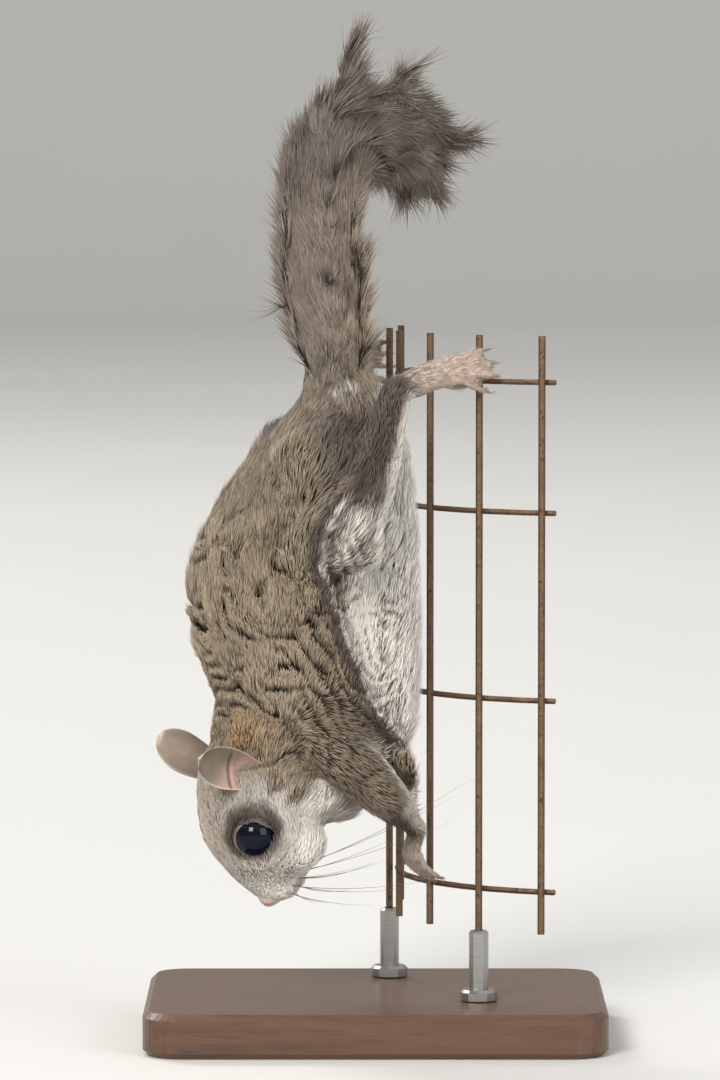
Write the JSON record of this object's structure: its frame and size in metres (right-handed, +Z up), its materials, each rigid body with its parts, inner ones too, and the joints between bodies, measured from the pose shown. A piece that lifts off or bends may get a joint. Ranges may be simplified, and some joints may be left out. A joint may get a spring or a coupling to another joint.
{
  "type": "flying squirrel",
  "caption": "Life-size flying squirrel clinging head down to a cut length of wire cage, on a small rod and plate display stand.",
  "frame": {"origin": "middle of the base's underside", "axes": "+Z up from the base to the tail, -Y towards the animal's left side, +X from its back towards its belly"},
  "size_m": [0.104, 0.0894, 0.226],
  "materials": {
    "back_fur": "short dense fur, buff tips over a slate base",
    "limb_fur": "short fur",
    "membrane_fur": "thin furred skin with a darker edge",
    "paw_skin": "thinly furred skin",
    "ear_skin": "thin, nearly bare skin",
    "tail_fur": "longer soft fur laid flat to both sides",
    "eye": "wet and glossy",
    "wire": "weathered bronze-brown coating",
    "rod": "satin",
    "base": "satin oil"
  },
  "bodies": {
    "root": {"torso": "back_fur", "neck": "back_fur", "head": "back_fur", "upper_arm_left": "limb_fur", "upper_arm_right": "limb_fur", "forearm_left": "limb_fur", "forearm_right": "limb_fur", "thigh_left": "limb_fur", "thigh_right": "limb_fur", "shank_left": "limb_fur", "shank_right": "limb_fur", "membrane_left": "membrane_fur", "membrane_right": "membrane_fur", "hand_left": "paw_skin", "hand_right": "paw_skin", "foot_left": "paw_skin", "foot_right": "paw_skin", "ear_left": "ear_skin", "ear_right": "ear_skin", "tail_base": "tail_fur", "tail_middle": "tail_fur", "tail_tip": "tail_fur", "eye_left": "eye", "eye_right": "eye", "stand_cage_upright_1": "wire", "stand_cage_upright_2": "wire", "stand_cage_upright_3": "wire", "stand_cage_upright_4": "wire", "stand_cage_upright_5": "wire", "stand_cage_upright_6": "wire", "stand_cage_hoop_1": "wire", "stand_cage_hoop_2": "wire", "stand_cage_hoop_3": "wire", "stand_cage_hoop_4": "wire", "stand_rod_1": "rod", "stand_rod_2": "rod", "stand_base": "base"}
  },
  "joints": []
}
